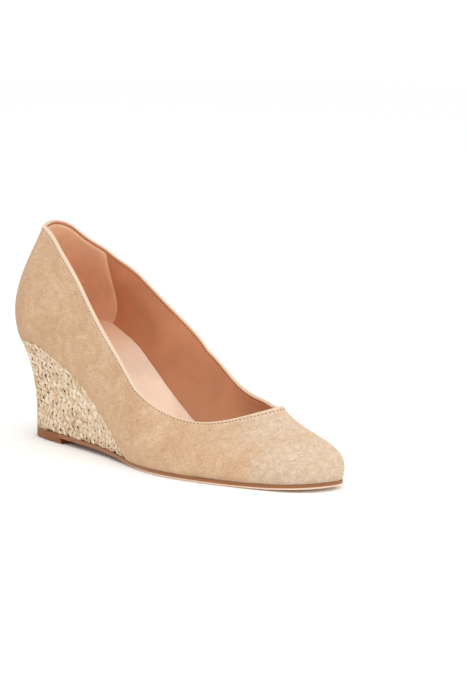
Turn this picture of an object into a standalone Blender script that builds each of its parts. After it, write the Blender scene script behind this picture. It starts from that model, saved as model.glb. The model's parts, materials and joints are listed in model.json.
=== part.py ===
"""Right shoe of a pair of wedge pumps, empty and standing on its sole.

The shoe is described in its own frame: X runs from the back of the heel to the toe, Y to the inner
side of the foot (the wearer's left) and Z up, with Z = 0 on the floor. The finished pieces are shifted
along X, so that the origin lies at the middle of the top piece's resting face.

Every form comes from three closed rings round the foot: the feather line, where upper and bottom meet,
the base line below it, where the wedge stands on sole and top piece, and the topline. Their rows in
STATIONS run from the back of the heel along the outer side to the toe and back along the inner side.
"""

from collections import namedtuple

import bpy
import bmesh
import numpy as np

# Driving sizes, in metres
SHOE_LENGTH = 0.235  # back of the heel to the toe's tip, along the feather line
BALL_WIDTH = 0.076  # widest place of the feather line
HEEL_HEIGHT = 0.0555  # floor to the feather line at the back
COLLAR_HEIGHT = 0.0645  # feather line to the topline at the back
TOE_SPRING = 0.002  # lift of the sole at the toe's tip
UPPER_WALL = 0.0018  # suede, padding and lining together
ARCH_RISE = 0.005  # how much higher the feather line runs on the inner side, along the foot's arch
INSOLE_THICKNESS = 0.0034  # padded insole, from which its edge heights are taken
SOLE_THICKNESS = 0.0027
SOLE_MARGIN = 0.0004  # how far the sole's edge stands out past the feather line
SOLE_BEVEL = 0.0011  # slanted lower part of the sole's edge
TOP_PIECE_THICKNESS = 0.0053
BREAST_SLANT = 0.004  # how far the top piece's front leans forward at the floor
PLAIT_PITCH = 0.0068  # from one row of plaited straw to the next, down the wedge's wall
PLAIT_DEPTH = 0.0009  # groove between two rows
WEDGE_EDGE = 0.001  # height at which the wedge's thin front edge is cut off
GAP = 0.0003  # between pieces that touch
WEDGE_DROP = 0.00015  # wedge's top below the deck, whose curve the wedge's long faces cut short
INSOLE_CLEARANCE = 0.0006  # between the insole's edge and the upper's inner wall
INSOLE_LIFT = 0.0003  # added to the gap under the insole, whose long faces cut the deck's curve short

# Places along the shoe, as shares of its length
ORIGIN_ALONG = 0.128
BREAST_ALONG = 0.216

# Mesh counts
UPPER_COLUMNS = 92
UPPER_ROWS = 12
WEDGE_COLUMNS = 34
WEDGE_ROWS = 28
PLATE_COLUMNS = 40
TOP_PIECE_COLUMNS = 16
DENSE = 960  # points of a ring from which the flat pieces read their outlines
BLUNT_END = 0.0004  # share of a flat piece's length cut off at a round end
HOLLOW = 2.5  # over 1, the wedge's wall pulls in below the feather line
RIM_ROUND = 0.35  # how far the topline's edge swells up, as a share of the wall
BEVEL_START = 0.6  # depth in the sole's edge at which it starts to slant, as a share of its thickness
INSOLE_MIDDLE = 0.8  # height of the dished insole's middle, as a share of its lower edge
INSOLE_INWARD = (0.04, 0.13, 0.36, 0.72)  # rings of its top face, as shares of the way to its middle line
INSOLE_END = 0.085  # distance of that middle line from heel and toe, as a share of the length
ARCH_WIDTH = 0.76  # width over which the arch rises, as a share of BALL_WIDTH
SMOOTH_ANGLE = np.radians(38)

# Ring stations. Lengths along are shares of SHOE_LENGTH, lengths out shares of BALL_WIDTH, and top_up and
# belly shares of COLLAR_HEIGHT. rise, run and drop steer the wall's curve between feather line and topline.
# lip is the height of the insole's edge there, as a share of INSOLE_THICKNESS.
Station = namedtuple(
    "Station", "place sole_along sole_out base_along base_out top_along top_out top_up belly rise run drop lip"
)
STATIONS = (
    Station("back", 0.000, 0.000, 0.055, 0.000, 0.060, 0.000, 1.000, 0.114, 0.40, 0.62, 0.35, 1.40),
    Station("outer_heel_corner", 0.031, -0.194, 0.079, -0.152, 0.088, -0.142, 0.978, 0.146, 0.38, 0.62, 0.32, 1.35),
    Station("outer_heel", 0.124, -0.335, 0.158, -0.240, 0.165, -0.257, 0.952, 0.088, 0.40, 0.20, 0.34, 1.30),
    Station("outer_waist", 0.332, -0.337, 0.332, -0.316, 0.330, -0.326, 0.732, 0.064, 0.33, 0.00, 0.35, 1.25),
    Station("outer_shank", 0.490, -0.428, 0.490, -0.424, 0.452, -0.365, 0.655, 0.062, 0.30, 0.10, 0.35, 1.00),
    Station("outer_ball", 0.655, -0.523, 0.655, -0.523, 0.572, -0.358, 0.470, 0.077, 0.35, 0.30, 0.30, 0.75),
    Station("outer_vamp", 0.833, -0.397, 0.833, -0.397, 0.689, -0.265, 0.385, 0.066, 0.46, 0.43, 0.29, 0.65),
    Station("outer_toe", 0.967, -0.200, 0.967, -0.200, 0.790, -0.122, 0.474, 0.076, 0.54, 0.44, 0.36, 0.60),
    Station("tip", 1.000, 0.052, 1.000, 0.052, 0.834, 0.058, 0.545, 0.092, 0.62, 0.36, 0.43, 0.60),
    Station("inner_toe", 0.974, 0.213, 0.974, 0.213, 0.790, 0.160, 0.514, 0.098, 0.60, 0.40, 0.43, 0.62),
    Station("inner_vamp", 0.872, 0.359, 0.872, 0.359, 0.716, 0.257, 0.526, 0.080, 0.49, 0.40, 0.35, 0.75),
    Station("inner_ball", 0.720, 0.474, 0.720, 0.474, 0.612, 0.328, 0.600, 0.078, 0.35, 0.30, 0.30, 1.15),
    Station("inner_shank", 0.550, 0.373, 0.550, 0.371, 0.494, 0.332, 0.840, 0.062, 0.30, 0.10, 0.35, 2.15),
    Station("inner_waist", 0.360, 0.292, 0.360, 0.278, 0.351, 0.297, 0.842, 0.063, 0.33, 0.00, 0.35, 2.35),
    Station("inner_heel", 0.123, 0.336, 0.155, 0.245, 0.154, 0.254, 0.826, 0.080, 0.40, 0.12, 0.35, 2.15),
    Station("inner_heel_corner", 0.030, 0.198, 0.079, 0.156, 0.082, 0.143, 0.964, 0.104, 0.40, 0.50, 0.35, 1.60),
)

# Side profile. along is a share of SHOE_LENGTH. wedge is the wedge's height there, as a share of its
# height at the back, spring the toe's lift, as a share of TOE_SPRING, arch the lift of the face on which
# the wedge stands, as a share of the step from sole to top piece, and inner the share of ARCH_RISE.
Section = namedtuple("Section", "along wedge spring arch inner")
SECTIONS = (
    Section(0.000, 1.000, 0.00, 1.00, 0.00),
    Section(0.090, 0.985, 0.00, 1.00, 0.40),
    Section(0.150, 0.950, 0.00, 1.00, 0.72),
    Section(0.210, 0.840, 0.00, 1.00, 0.92),
    Section(0.270, 0.715, 0.00, 0.98, 1.00),
    Section(0.330, 0.525, 0.00, 0.92, 1.00),
    Section(0.390, 0.325, 0.00, 0.78, 0.84),
    Section(0.440, 0.170, 0.00, 0.60, 0.52),
    Section(0.480, 0.065, 0.00, 0.38, 0.22),
    Section(0.515, 0.000, 0.00, 0.15, 0.05),
    Section(0.570, 0.000, 0.00, 0.00, 0.00),
    Section(0.820, 0.000, 0.00, 0.00, 0.00),
    Section(0.900, 0.000, 0.22, 0.00, 0.00),
    Section(1.000, 0.000, 1.00, 0.00, 0.00),
)

# Colours are linear red, green and blue
UPPER_COLOUR = (0.67, 0.44, 0.26)
WEDGE_COLOUR = (0.75, 0.61, 0.41)
INSOLE_COLOUR = (0.84, 0.60, 0.44)
SOLE_COLOUR = (0.31, 0.15, 0.07)
TOP_PIECE_COLOUR = (0.43, 0.22, 0.11)


def column(name):
    """One column of the ring stations."""
    return np.array([getattr(station, name) for station in STATIONS])


def closed_curve(values, count):
    """Closed smooth curve (a uniform cubic B-spline) through the rows of values, at count even steps."""
    rows = len(values)
    near = np.roll(np.eye(rows), 1, axis=0) + np.roll(np.eye(rows), -1, axis=0)
    control = np.linalg.solve(4.0 / 6.0 * np.eye(rows) + near / 6.0, values)
    step = np.arange(count) / count * rows
    first = np.floor(step).astype(int)
    part = step - first
    weights = (
        (1 - part) ** 3 / 6,
        (3 * part**3 - 6 * part**2 + 4) / 6,
        (-3 * part**3 + 3 * part**2 + 3 * part + 1) / 6,
        part**3 / 6,
    )
    return sum(weight * control[(first - 1 + shift) % rows] for shift, weight in enumerate(weights))


def profile(name, x):
    """Smooth curve of one column of the sections at x, with no hump between two rows (monotone cubic)."""
    along = SHOE_LENGTH * np.array([section.along for section in SECTIONS])
    value = np.array([getattr(section, name) for section in SECTIONS])
    width = np.diff(along)
    slope = np.diff(value) / width
    same_way = slope[:-1] * slope[1:] > 0
    total = np.where(same_way, slope[:-1] + slope[1:], 1.0)
    middle = np.where(same_way, 2 * slope[:-1] * slope[1:] / total, 0.0)
    tangent = np.concatenate((slope[:1], middle, slope[-1:]))
    x = np.clip(x, along[0], along[-1])
    left = np.clip(np.searchsorted(along, x, side="right") - 1, 0, len(width) - 1)
    part = (x - along[left]) / width[left]
    return (
        (2 * part**3 - 3 * part**2 + 1) * value[left]
        + (part**3 - 2 * part**2 + part) * width[left] * tangent[left]
        + (3 * part**2 - 2 * part**3) * value[left + 1]
        + (part**3 - part**2) * width[left] * tangent[left + 1]
    )


def underside(x):
    """Height of the face on which the wedge stands: the top of the sole and of the top piece."""
    arch = (TOP_PIECE_THICKNESS - SOLE_THICKNESS) * profile("arch", x)
    return SOLE_THICKNESS + arch + TOE_SPRING * profile("spring", x)


def deck(x, y=None):
    """Height of the feather line and of the bottom of the foot's room.

    With y given, the arch counts: the deck tilts up towards the inner side, in proportion to y.
    """
    level = underside(x) + (HEEL_HEIGHT - TOP_PIECE_THICKNESS) * profile("wedge", x)
    if y is None:
        return level
    return level + ARCH_RISE * profile("inner", x) * (0.5 + y / (ARCH_WIDTH * BALL_WIDTH))


def on_deck(plan):
    """Points of a plan, set a gap above the deck."""
    return np.column_stack((plan, deck(plan[:, 0], plan[:, 1]) + GAP))


def ring(kind, count):
    """Plan of the feather line (kind sole), the base line (base) or the topline (top)."""
    along = closed_curve(column(kind + "_along"), count) * SHOE_LENGTH
    out = closed_curve(column(kind + "_out"), count) * BALL_WIDTH
    return np.stack((along, out), axis=1)


def outward(plan):
    """Outward unit normals of a closed plan ring that runs anticlockwise."""
    tangent = np.roll(plan, -1, axis=0) - np.roll(plan, 1, axis=0)
    normal = np.stack((tangent[:, 1], -tangent[:, 0]), axis=1)
    return normal / np.linalg.norm(normal, axis=1)[:, None]


def upper_surface():
    """Outer face of the upper, as columns by rows of points, from the feather line to the topline.

    Each column is a cubic Bezier curve: it leaves the feather line up and outward, by rise and belly, and
    reaches the topline from below and from the side of the feather line, by drop and run.
    """
    foot_plan = ring("sole", UPPER_COLUMNS)
    top_plan = ring("top", UPPER_COLUMNS)
    foot = on_deck(foot_plan)
    lift = closed_curve(column("top_up"), UPPER_COLUMNS) * COLLAR_HEIGHT
    top = np.column_stack((top_plan, deck(top_plan[:, 0]) + lift))
    height = top[:, 2] - foot[:, 2]
    belly = closed_curve(column("belly"), UPPER_COLUMNS) * COLLAR_HEIGHT
    rise = closed_curve(column("rise"), UPPER_COLUMNS) * height
    run = closed_curve(column("run"), UPPER_COLUMNS)
    drop = closed_curve(column("drop"), UPPER_COLUMNS) * height
    above = foot + np.column_stack((outward(foot_plan) * belly[:, None], rise))
    below = top + np.column_stack(((foot_plan - top_plan) * run[:, None], -drop))
    part = np.linspace(0, 1, UPPER_ROWS + 1)[None, :, None]
    return (
        (1 - part) ** 3 * foot[:, None]
        + 3 * (1 - part) ** 2 * part * above[:, None]
        + 3 * (1 - part) * part**2 * below[:, None]
        + part**3 * top[:, None]
    )


def grid_normals(grid):
    """Outward unit normals of a grid whose columns go round anticlockwise and whose rows go up."""
    round_step = np.roll(grid, -1, axis=0) - np.roll(grid, 1, axis=0)
    up_step = np.gradient(grid, axis=1)
    normal = np.cross(round_step, up_step)
    return normal / np.linalg.norm(normal, axis=2)[:, :, None]


def make_material(name, colour, roughness):
    """Plain material of one piece."""
    material = bpy.data.materials.new(name)
    material.use_nodes = True
    shader = material.node_tree.nodes["Principled BSDF"]
    shader.inputs["Base Color"].default_value = (*colour, 1.0)
    shader.inputs["Roughness"].default_value = roughness
    shader.inputs["Metallic"].default_value = 0.0
    return material


def make_piece(name, points, faces, material):
    """Object of one closed solid, moved from the shoe's frame to the part's origin."""
    placed = points - np.array((ORIGIN_ALONG * SHOE_LENGTH, 0.0, 0.0))
    mesh = bpy.data.meshes.new(name)
    mesh.from_pydata(placed.tolist(), [], faces)
    body = bmesh.new()
    body.from_mesh(mesh)
    bmesh.ops.recalc_face_normals(body, faces=body.faces)
    body.to_mesh(mesh)
    body.free()
    mesh.shade_smooth()
    mesh.set_sharp_from_angle(angle=SMOOTH_ANGLE)
    mesh.materials.append(material)
    piece = bpy.data.objects.new(name, mesh)
    bpy.context.scene.collection.objects.link(piece)
    return piece


def make_upper():
    """Hollow upper: outer face, rounded topline edge, inner face and lower edge as one closed skin."""
    outer = upper_surface()
    inner = outer - grid_normals(outer) * UPPER_WALL
    inner[:, 0] = on_deck(outer[:, 0, :2] - outward(outer[:, 0, :2]) * UPPER_WALL)
    climb = outer[:, -1] - outer[:, -2]
    climb /= np.linalg.norm(climb, axis=1)[:, None]
    rim = (outer[:, -1] + inner[:, -1]) / 2 + climb * UPPER_WALL * RIM_ROUND
    loops = np.concatenate((outer, rim[:, None], inner[:, ::-1]), axis=1)
    columns, rows = loops.shape[:2]
    index = np.arange(columns * rows).reshape(columns, rows)
    across = np.roll(index, -1, axis=0)
    faces = np.stack(
        (index, across, np.roll(across, -1, axis=1), np.roll(index, -1, axis=1)), axis=2
    ).reshape(-1, 4)
    material = make_material("suede", UPPER_COLOUR, 0.9)
    return make_piece("upper", loops.reshape(-1, 3), faces.tolist(), material)


def outline(kind, margin, stations, start=None, end=None):
    """Plan of a flat piece: pairs of points, outer and inner side, at shares of its length.

    margin grows the ring outward. start and end, where given, cut the ring off at that X; a round end
    is left blunt by a hair, so that the two sides never meet in one point.
    """
    plan = ring(kind, DENSE)
    plan = plan + outward(plan) * margin
    back = int(np.argmin(plan[:, 0]))
    plan = np.roll(plan, -back, axis=0)
    tip = int(np.argmax(plan[:, 0]))
    outer = plan[: tip + 1]
    inner = plan[tip:][::-1]
    length = plan[tip, 0] - plan[0, 0]
    first = plan[0, 0] + BLUNT_END * length if start is None else start
    last = plan[tip, 0] - BLUNT_END * length if end is None else end
    x = first + (last - first) * stations
    return x, np.interp(x, outer[:, 0], outer[:, 1]), np.interp(x, inner[:, 0], inner[:, 1])


def plate_ring(sides, height):
    """Closed ring of points from an outline: along the outer side, then back along the inner side.

    height gives the height from X and Y.
    """
    x, outer, inner = sides
    outer_side = np.column_stack((x, outer, height(x, outer)))
    inner_side = np.column_stack((x, inner, height(x, inner)))
    return np.concatenate((outer_side, inner_side[::-1]))


def level(height):
    """Height function of a flat ring."""
    return lambda x, y: np.full(len(x), height)


def make_stack(name, rings, material):
    """Closed solid from rings of equal count, lowest first, with rungs across its two end faces."""
    count = len(rings[0])
    half = count // 2
    faces = []
    for level in range(len(rings) - 1):
        for at in range(count):
            beside = (at + 1) % count
            low = level * count
            faces.append((low + at, low + beside, low + count + beside, low + count + at))
    for base in (0, (len(rings) - 1) * count):
        for at in range(half - 1):
            faces.append((base + at, base + at + 1, base + count - 2 - at, base + count - 1 - at))
    return make_piece(name, np.concatenate(rings), faces, material)


def both_ends_round(count):
    """Shares of a length, closer together towards both ends."""
    return (1 - np.cos(np.pi * np.linspace(0, 1, count))) / 2


def back_end_round(count):
    """Shares of a length, closer together towards the back."""
    return 1 - np.cos(np.pi / 2 * np.linspace(0, 1, count))


def front_end_round(count):
    """Shares of a length, closer together towards the toe."""
    return np.sin(np.pi / 2 * np.linspace(0, 1, count))


def at_height(columns, low, height):
    """Point of each column of a wall at a height over its low end, which takes the place of its first row."""
    wanted = low[:, 2] + height
    points = []
    for one, start, z in zip(columns, low, wanted):
        line = np.concatenate((start[None], one[1:]))
        points.append([np.interp(z, line[:, 2], line[:, axis]) for axis in range(3)])
    return np.array(points)


def make_insole():
    """Padded insole with a dished top: its edge climbs the upper's inner wall, most along the arch.

    Its rings share the upper's columns. The top face runs from the edge to a middle line, from height lip
    to height middle over the deck, by middle + (lip - middle) * (1 - share) ** 3.
    """
    outer = upper_surface()
    depth = UPPER_WALL + INSOLE_CLEARANCE
    columns = outer - grid_normals(outer) * depth
    foot = on_deck(outer[:, 0, :2] - outward(outer[:, 0, :2]) * depth)
    foot[:, 2] += INSOLE_LIFT
    lip = closed_curve(column("lip"), UPPER_COLUMNS) * INSOLE_THICKNESS
    opposite = -np.arange(UPPER_COLUMNS) % UPPER_COLUMNS
    middle = INSOLE_MIDDLE * np.minimum(lip, lip[opposite])
    edge = at_height(columns, foot, lip * (1 - INSOLE_INWARD[0]))
    spine = (edge[:, :2] + edge[opposite, :2]) / 2
    end = INSOLE_END * SHOE_LENGTH
    spine[:, 0] = np.clip(spine[:, 0], foot[:, 0].min() + end, foot[:, 0].max() - end)
    rings = [foot, at_height(columns, foot, lip / 2), at_height(columns, foot, lip * 0.85)]
    for share in INSOLE_INWARD:
        plan = edge[:, :2] + (spine - edge[:, :2]) * share
        points = on_deck(plan)
        points[:, 2] += middle + (lip - middle) * (1 - share) ** 3
        rings.append(points)
    return make_rounds("insole", rings, make_material("insole_leather", INSOLE_COLOUR, 0.55))


def make_rounds(name, rings, material):
    """Closed solid from rings in the upper's columns, lowest first, with rungs across its two end faces."""
    count = len(rings[0])
    half = count // 2
    faces = []
    for low in range(0, (len(rings) - 1) * count, count):
        for at in range(count):
            beside = (at + 1) % count
            faces.append((low + at, low + beside, low + count + beside, low + count + at))
    for base in (0, (len(rings) - 1) * count):
        faces.append((base, base + 1, base + count - 1))
        faces.append((base + half - 1, base + half, base + half + 1))
        for at in range(1, half - 1):
            faces.append((base + at, base + at + 1, base + count - 1 - at, base + count - at))
    return make_piece(name, np.concatenate(rings), faces, material)


def wedge_tip():
    """X at which the wedge has come down to WEDGE_EDGE."""
    x = np.linspace(0, SHOE_LENGTH, DENSE)
    return float(x[np.nonzero(deck(x) - underside(x) > WEDGE_EDGE)[0][-1]])


def make_wedge():
    """Straw-covered wedge between base line and feather line, with a groove between plait rows.

    The wall runs from the base ring to the feather ring and pulls in below the feather line. The rows lie
    parallel to the feather line, so a point's groove depends on its depth below it:
    inset = PLAIT_DEPTH * (1 - |sin(pi * depth / PLAIT_PITCH)|).
    """
    stations = (back_end_round(WEDGE_COLUMNS) + both_ends_round(WEDGE_COLUMNS)) / 2
    tip = wedge_tip()
    low_sides = outline("base", 0.0, stations, end=tip)
    high_sides = outline("sole", 0.0, stations, end=tip)
    low = plate_ring(low_sides, lambda x, y: underside(x) + GAP)
    high = plate_ring(high_sides, lambda x, y: deck(x, y) - WEDGE_DROP)
    away = np.column_stack((outward(high[:, :2]), np.zeros(len(high))))
    height = high[:, 2] - low[:, 2]
    blunt = np.isclose(high[:, 0], tip)
    away[blunt] = 0.0
    rings = []
    for share in np.linspace(0, 1, WEDGE_ROWS + 1):
        points = low + (high - low) * share**HOLLOW
        points[:, 2] = low[:, 2] + height * share
        depth = height * (1 - share)
        groove = 1 - np.abs(np.sin(np.pi * depth / PLAIT_PITCH))
        rings.append(points - away * (PLAIT_DEPTH * groove)[:, None])
    return make_stack("wedge", rings, make_material("straw", WEDGE_COLOUR, 0.8))


def breast(height):
    """X of the top piece's leaning front face at a height over the floor."""
    return BREAST_ALONG * SHOE_LENGTH - BREAST_SLANT * height / TOP_PIECE_THICKNESS


def make_outsole():
    """Thin sole from the top piece's front to the toe, upright above and slanted below on its edge."""
    stations = front_end_round(PLATE_COLUMNS)
    rings = []
    for margin, depth in ((SOLE_MARGIN - SOLE_BEVEL, 1.0), (SOLE_MARGIN, BEVEL_START), (SOLE_MARGIN, 0.0)):
        start = breast(TOP_PIECE_THICKNESS - SOLE_THICKNESS * depth) + GAP
        edge = outline("base", margin, stations, start=start)
        rings.append(plate_ring(edge, lambda x, y: underside(x) - SOLE_THICKNESS * depth))
    return make_stack("outsole", rings, make_material("sole_leather", SOLE_COLOUR, 0.5))


def make_top_piece():
    """Lift under the heel, round at the back, with a front that leans forward at the floor."""
    stations = back_end_round(TOP_PIECE_COLUMNS)
    low = outline("base", 0.0, stations, end=breast(0.0))
    high = outline("base", 0.0, stations, end=breast(TOP_PIECE_THICKNESS))
    rings = (
        plate_ring(low, level(0.0)),
        plate_ring(high, level(TOP_PIECE_THICKNESS)),
    )
    return make_stack("top_piece", rings, make_material("top_piece_rubber", TOP_PIECE_COLOUR, 0.6))


def main():
    """Clear the scene and build the shoe's five pieces."""
    for old in list(bpy.data.objects):
        bpy.data.objects.remove(old, do_unlink=True)
    make_upper()
    make_insole()
    make_wedge()
    make_outsole()
    make_top_piece()


main()
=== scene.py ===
"""Looks of one right wedge pump: suede upper, leather lining, plaited straw wedge, sole and studio.

The shoe's own frame has X from the back of the heel to the toe, Y to the inner side of the foot and
Z up from the floor. Points are worked out in that frame and shifted by ORIGIN_ALONG to the part's origin.
"""

import json
from collections import namedtuple

import bpy
import numpy as np
from bpy.props import FloatProperty, FloatVectorProperty, PointerProperty
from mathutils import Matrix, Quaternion, Vector

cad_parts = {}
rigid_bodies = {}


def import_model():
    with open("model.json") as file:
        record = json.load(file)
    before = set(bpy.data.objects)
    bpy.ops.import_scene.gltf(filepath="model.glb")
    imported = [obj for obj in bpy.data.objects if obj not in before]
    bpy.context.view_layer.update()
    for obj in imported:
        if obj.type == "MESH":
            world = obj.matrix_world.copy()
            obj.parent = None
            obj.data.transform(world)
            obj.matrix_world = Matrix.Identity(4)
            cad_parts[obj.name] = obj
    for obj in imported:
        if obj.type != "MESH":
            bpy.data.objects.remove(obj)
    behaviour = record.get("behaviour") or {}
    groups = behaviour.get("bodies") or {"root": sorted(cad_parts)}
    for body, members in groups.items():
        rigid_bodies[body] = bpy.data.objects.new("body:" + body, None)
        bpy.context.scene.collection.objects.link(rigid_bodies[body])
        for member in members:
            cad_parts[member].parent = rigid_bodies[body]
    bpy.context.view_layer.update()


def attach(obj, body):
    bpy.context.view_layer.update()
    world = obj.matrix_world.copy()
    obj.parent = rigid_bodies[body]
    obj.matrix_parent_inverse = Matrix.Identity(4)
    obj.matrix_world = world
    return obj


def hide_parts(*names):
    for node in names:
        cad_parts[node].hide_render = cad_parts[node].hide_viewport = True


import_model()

bl_info = {
    "name": "Wedge pump looks",
    "version": (1, 0, 0),
    "blender": (4, 5, 0),
    "location": "3D View > Sidebar > Wedge pump",
    "description": "Dresses a wedge pump and sets up its studio",
    "category": "Object",
}

BODY = "root"
MM = 0.001

# The shoe's sizes, in metres, as the solids have them
SHOE_LENGTH = 0.235
BALL_WIDTH = 0.076
HEEL_HEIGHT = 0.0555
COLLAR_HEIGHT = 0.0645
TOE_SPRING = 0.002
UPPER_WALL = 0.0018
ARCH_RISE = 0.005
ARCH_WIDTH = 0.76
INSOLE_THICKNESS = 0.0034
INSOLE_MIDDLE = 0.8
INSOLE_END = 0.085
SOLE_THICKNESS = 0.0027
SOLE_MARGIN = 0.0004
SOLE_BEVEL = 0.0011
BEVEL_START = 0.6
TOP_PIECE_THICKNESS = 0.0053
BREAST_SLANT = 0.004
BREAST_ALONG = 0.216
PLAIT_PITCH = 0.0068
WEDGE_EDGE = 0.001
HOLLOW = 2.5
GAP = 0.0003
ORIGIN_ALONG = 0.128
RING_STEP = 1 / 92  # step over which a ring's direction is measured, in turns
DENSE = 4000  # points of a ring or row that lengths are read from
COLUMN_STEPS = 121  # points of a column of the wall that lengths are read from

# Ring stations, from the back of the heel along the outer side to the toe and back along the inner side.
# Lengths along are shares of SHOE_LENGTH, lengths out shares of BALL_WIDTH, top_up and belly shares of
# COLLAR_HEIGHT. rise, run and drop steer the wall's curve between feather line and topline. lip is the
# height of the insole's edge there, as a share of INSOLE_THICKNESS.
Station = namedtuple(
    "Station",
    "place sole_along sole_out base_along base_out top_along top_out top_up belly rise run drop lip",
)
STATIONS = (
    Station("back", 0.000, 0.000, 0.055, 0.000, 0.060, 0.000, 1.000, 0.114, 0.40, 0.62, 0.35, 1.40),
    Station("outer_back", 0.031, -0.194, 0.079, -0.152, 0.088, -0.142, 0.978, 0.146, 0.38, 0.62, 0.32, 1.35),
    Station("outer_heel", 0.124, -0.335, 0.158, -0.240, 0.165, -0.257, 0.952, 0.088, 0.40, 0.20, 0.34, 1.30),
    Station("outer_waist", 0.332, -0.337, 0.332, -0.316, 0.330, -0.326, 0.732, 0.064, 0.33, 0.00, 0.35, 1.25),
    Station("outer_shank", 0.490, -0.428, 0.490, -0.424, 0.452, -0.365, 0.655, 0.062, 0.30, 0.10, 0.35, 1.00),
    Station("outer_ball", 0.655, -0.523, 0.655, -0.523, 0.572, -0.358, 0.470, 0.077, 0.35, 0.30, 0.30, 0.75),
    Station("outer_vamp", 0.833, -0.397, 0.833, -0.397, 0.689, -0.265, 0.385, 0.066, 0.46, 0.43, 0.29, 0.65),
    Station("outer_toe", 0.967, -0.200, 0.967, -0.200, 0.790, -0.122, 0.474, 0.076, 0.54, 0.44, 0.36, 0.60),
    Station("tip", 1.000, 0.052, 1.000, 0.052, 0.834, 0.058, 0.545, 0.092, 0.62, 0.36, 0.43, 0.60),
    Station("inner_toe", 0.974, 0.213, 0.974, 0.213, 0.790, 0.160, 0.514, 0.098, 0.60, 0.40, 0.43, 0.62),
    Station("inner_vamp", 0.872, 0.359, 0.872, 0.359, 0.716, 0.257, 0.526, 0.080, 0.49, 0.40, 0.35, 0.75),
    Station("inner_ball", 0.720, 0.474, 0.720, 0.474, 0.612, 0.328, 0.600, 0.078, 0.35, 0.30, 0.30, 1.15),
    Station("inner_shank", 0.550, 0.373, 0.550, 0.371, 0.494, 0.332, 0.840, 0.062, 0.30, 0.10, 0.35, 2.15),
    Station("inner_waist", 0.360, 0.292, 0.360, 0.278, 0.351, 0.297, 0.842, 0.063, 0.33, 0.00, 0.35, 2.35),
    Station("inner_heel", 0.123, 0.336, 0.155, 0.245, 0.154, 0.254, 0.826, 0.080, 0.40, 0.12, 0.35, 2.15),
    Station("inner_back", 0.030, 0.198, 0.079, 0.156, 0.082, 0.143, 0.964, 0.104, 0.40, 0.50, 0.35, 1.60),
)

# Side profile: along is a share of SHOE_LENGTH, wedge of the wedge's height at the back, spring of
# TOE_SPRING, arch of the step from the sole's to the top piece's thickness and inner of ARCH_RISE.
Section = namedtuple("Section", "along wedge spring arch inner")
SECTIONS = (
    Section(0.000, 1.000, 0.00, 1.00, 0.00),
    Section(0.090, 0.985, 0.00, 1.00, 0.40),
    Section(0.150, 0.950, 0.00, 1.00, 0.72),
    Section(0.210, 0.840, 0.00, 1.00, 0.92),
    Section(0.270, 0.715, 0.00, 0.98, 1.00),
    Section(0.330, 0.525, 0.00, 0.92, 1.00),
    Section(0.390, 0.325, 0.00, 0.78, 0.84),
    Section(0.440, 0.170, 0.00, 0.60, 0.52),
    Section(0.480, 0.065, 0.00, 0.38, 0.22),
    Section(0.515, 0.000, 0.00, 0.15, 0.05),
    Section(0.570, 0.000, 0.00, 0.00, 0.00),
    Section(0.820, 0.000, 0.00, 0.00, 0.00),
    Section(0.900, 0.000, 0.22, 0.00, 0.00),
    Section(1.000, 0.000, 1.00, 0.00, 0.00),
)


def metres(name, description, default):
    """Setting of a length."""
    return FloatProperty(name=name, description=description, default=default, unit="LENGTH")


def degrees(name, description, default):
    """Setting of an angle, in degrees."""
    return FloatProperty(name=name, description=description, default=default)


def tone(name, description, *default):
    """Setting of a colour."""
    return FloatVectorProperty(name=name, description=description, subtype="COLOR", default=default)


class UpperSettings(bpy.types.PropertyGroup):
    """Sizes and colours of suede, lining and stitching."""

    suede: metres("Suede", "Thickness of the suede", 0.0010)
    edge_swell: metres("Edge swell", "How far the folded edge stands proud", 0.00018)
    stitch_down: metres("Stitch row", "Topline to the row of stitches", 0.0019)
    stitch_pitch: metres("Stitch pitch", "From one stitch to the next", 0.0020)
    nap: tone("Nap", "Suede where the nap lies flat", 0.57, 0.355, 0.205)
    nap_light: tone("Light nap", "Suede where the nap stands up", 0.68, 0.46, 0.295)
    # Painted shade: the suede at the heel's back, darker where it turns away from the light.
    heel_painted_shade: tone("Heel nap", "Deeper suede at the heel's back", 0.50, 0.31, 0.19)
    # Painted sheen: paler suede on the top of the vamp and on the toe, where the light falls.
    toe_painted_sheen: tone("Toe nap", "Paler suede on vamp and toe", 0.68, 0.53, 0.40)
    edge: tone("Folded edge", "Worn pale suede at the topline", 0.74, 0.57, 0.42)
    thread: tone("Thread", "Topline stitches", 0.09, 0.055, 0.03)
    lining: tone("Lining", "Leather lining", 0.615, 0.27, 0.14)
    grip: tone("Heel grip", "Suede panel inside the heel", 0.86, 0.51, 0.32)
    insole: tone("Insole", "Insole leather", 0.92, 0.73, 0.565)
    # Painted shade: the insole darker and redder towards the heel, deep inside the shoe.
    insole_painted_shade: tone("Insole's heel", "Insole leather darkened by the heel", 0.70, 0.38, 0.215)


class BottomSettings(bpy.types.PropertyGroup):
    """Sizes and colours of straw, sole and top piece."""

    strand: metres("Strand", "Half width of a straw strand", 0.00122)
    weave: metres("Plait length", "Length in which a strand crosses and comes back", 0.0150)
    straw: tone("Straw", "Natural straw", 0.76, 0.60, 0.42)
    straw_pale: tone("Pale straw", "Bleached strands", 0.93, 0.82, 0.66)
    straw_gold: tone("Golden straw", "Riper strands", 0.60, 0.40, 0.22)
    sole: tone("Sole edge", "Dyed sole edge", 0.29, 0.105, 0.028)
    # Painted shade along the top of the sole edge, under the upper.
    sole_painted_shade: tone("Sole seam", "Top of the sole edge", 0.23, 0.09, 0.035)
    bevel: tone("Bevel", "Undyed leather of bevel and underside", 0.92, 0.70, 0.54)
    top_piece: tone("Top piece", "Rubber under the heel", 0.245, 0.077, 0.014)
    # Painted shade along the top of the top piece, where it meets the straw.
    top_piece_painted_shade: tone("Top piece seam", "Top of the rubber", 0.18, 0.065, 0.02)


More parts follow.
